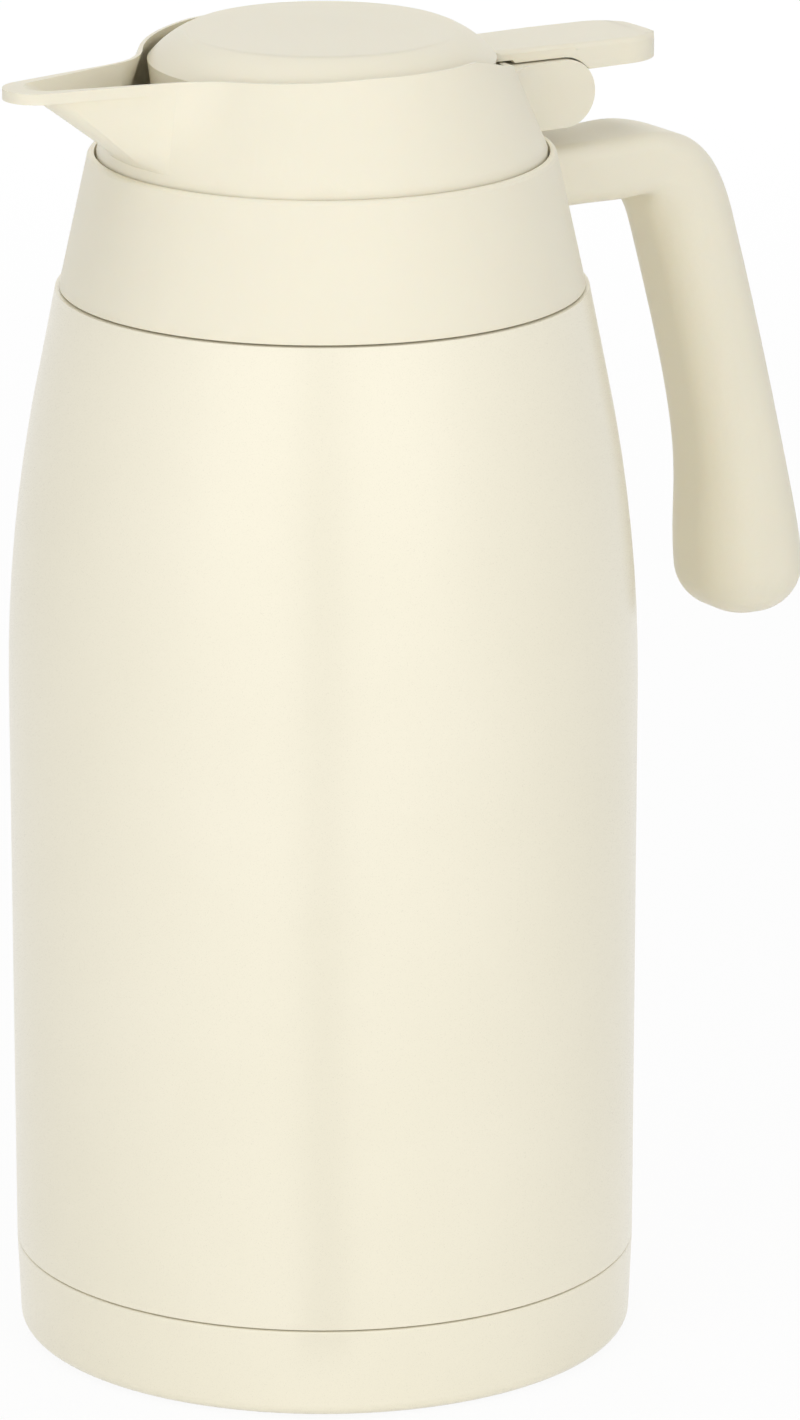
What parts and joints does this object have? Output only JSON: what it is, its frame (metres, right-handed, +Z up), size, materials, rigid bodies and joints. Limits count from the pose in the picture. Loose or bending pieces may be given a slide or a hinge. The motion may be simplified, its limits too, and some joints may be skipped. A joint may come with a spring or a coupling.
{
  "type": "insulated pitcher",
  "caption": "Cream vacuum-insulated table pitcher with a plastic collar and open grip, a lift-off stopper with a pouring beak, and a lid that a sprung thumb lever tips open.",
  "frame": {"origin": "centre of the flat underside that the pitcher stands on", "axes": "+Z up along the flask's axis, +X from the axis to the handle, -X to the pouring beak"},
  "size_m": [0.2045, 0.14, 0.297],
  "materials": {
    "shell_paint": "satin pearl cream paint on stainless sheet",
    "cream_plastic": "cream polypropylene with a fine satin skin",
    "white_plastic": "natural white polypropylene",
    "steel": "bare drawn stainless",
    "foil": "thin bright foil",
    "seal_rubber": "translucent grey silicone",
    "foam": "white expanded foam"
  },
  "bodies": {
    "flask": {"outer_shell": "shell_paint", "shell_bottom": "steel", "vacuum_plug": "steel", "inner_bottle": "steel", "foil_wrap": "foil", "getter": "steel", "base_cap": "shell_paint", "collar": "cream_plastic", "collar_gasket": "seal_rubber", "handle": "cream_plastic", "handle_screws": "steel"},
    "stopper": {"spout_body": "cream_plastic", "stopper_plug": "white_plastic", "plug_bottom": "white_plastic", "plug_foam": "foam", "stopper_gasket": "seal_rubber", "tube_gasket": "seal_rubber", "hinge_pin": "steel", "torsion_spring": "steel"},
    "lid": {"lid_cover": "cream_plastic", "lid_liner": "white_plastic", "lid_seal": "seal_rubber", "lid_screws": "steel"}
  },
  "joints": [
    {"name": "stopper_lift", "type": "slide", "parent": "flask", "child": "stopper", "axis": [0, 0, 1], "range_m": [0, 0.07]},
    {"name": "lid_hinge", "type": "hinge", "parent": "stopper", "child": "lid", "pos_m": [0.0562, 0, 0.278], "axis": [0, 1, 0], "range_deg": [0, 28], "stiffness_Nm_per_rad": 0.05, "springref_deg": -68.75, "deforming": ["torsion_spring"]}
  ]
}
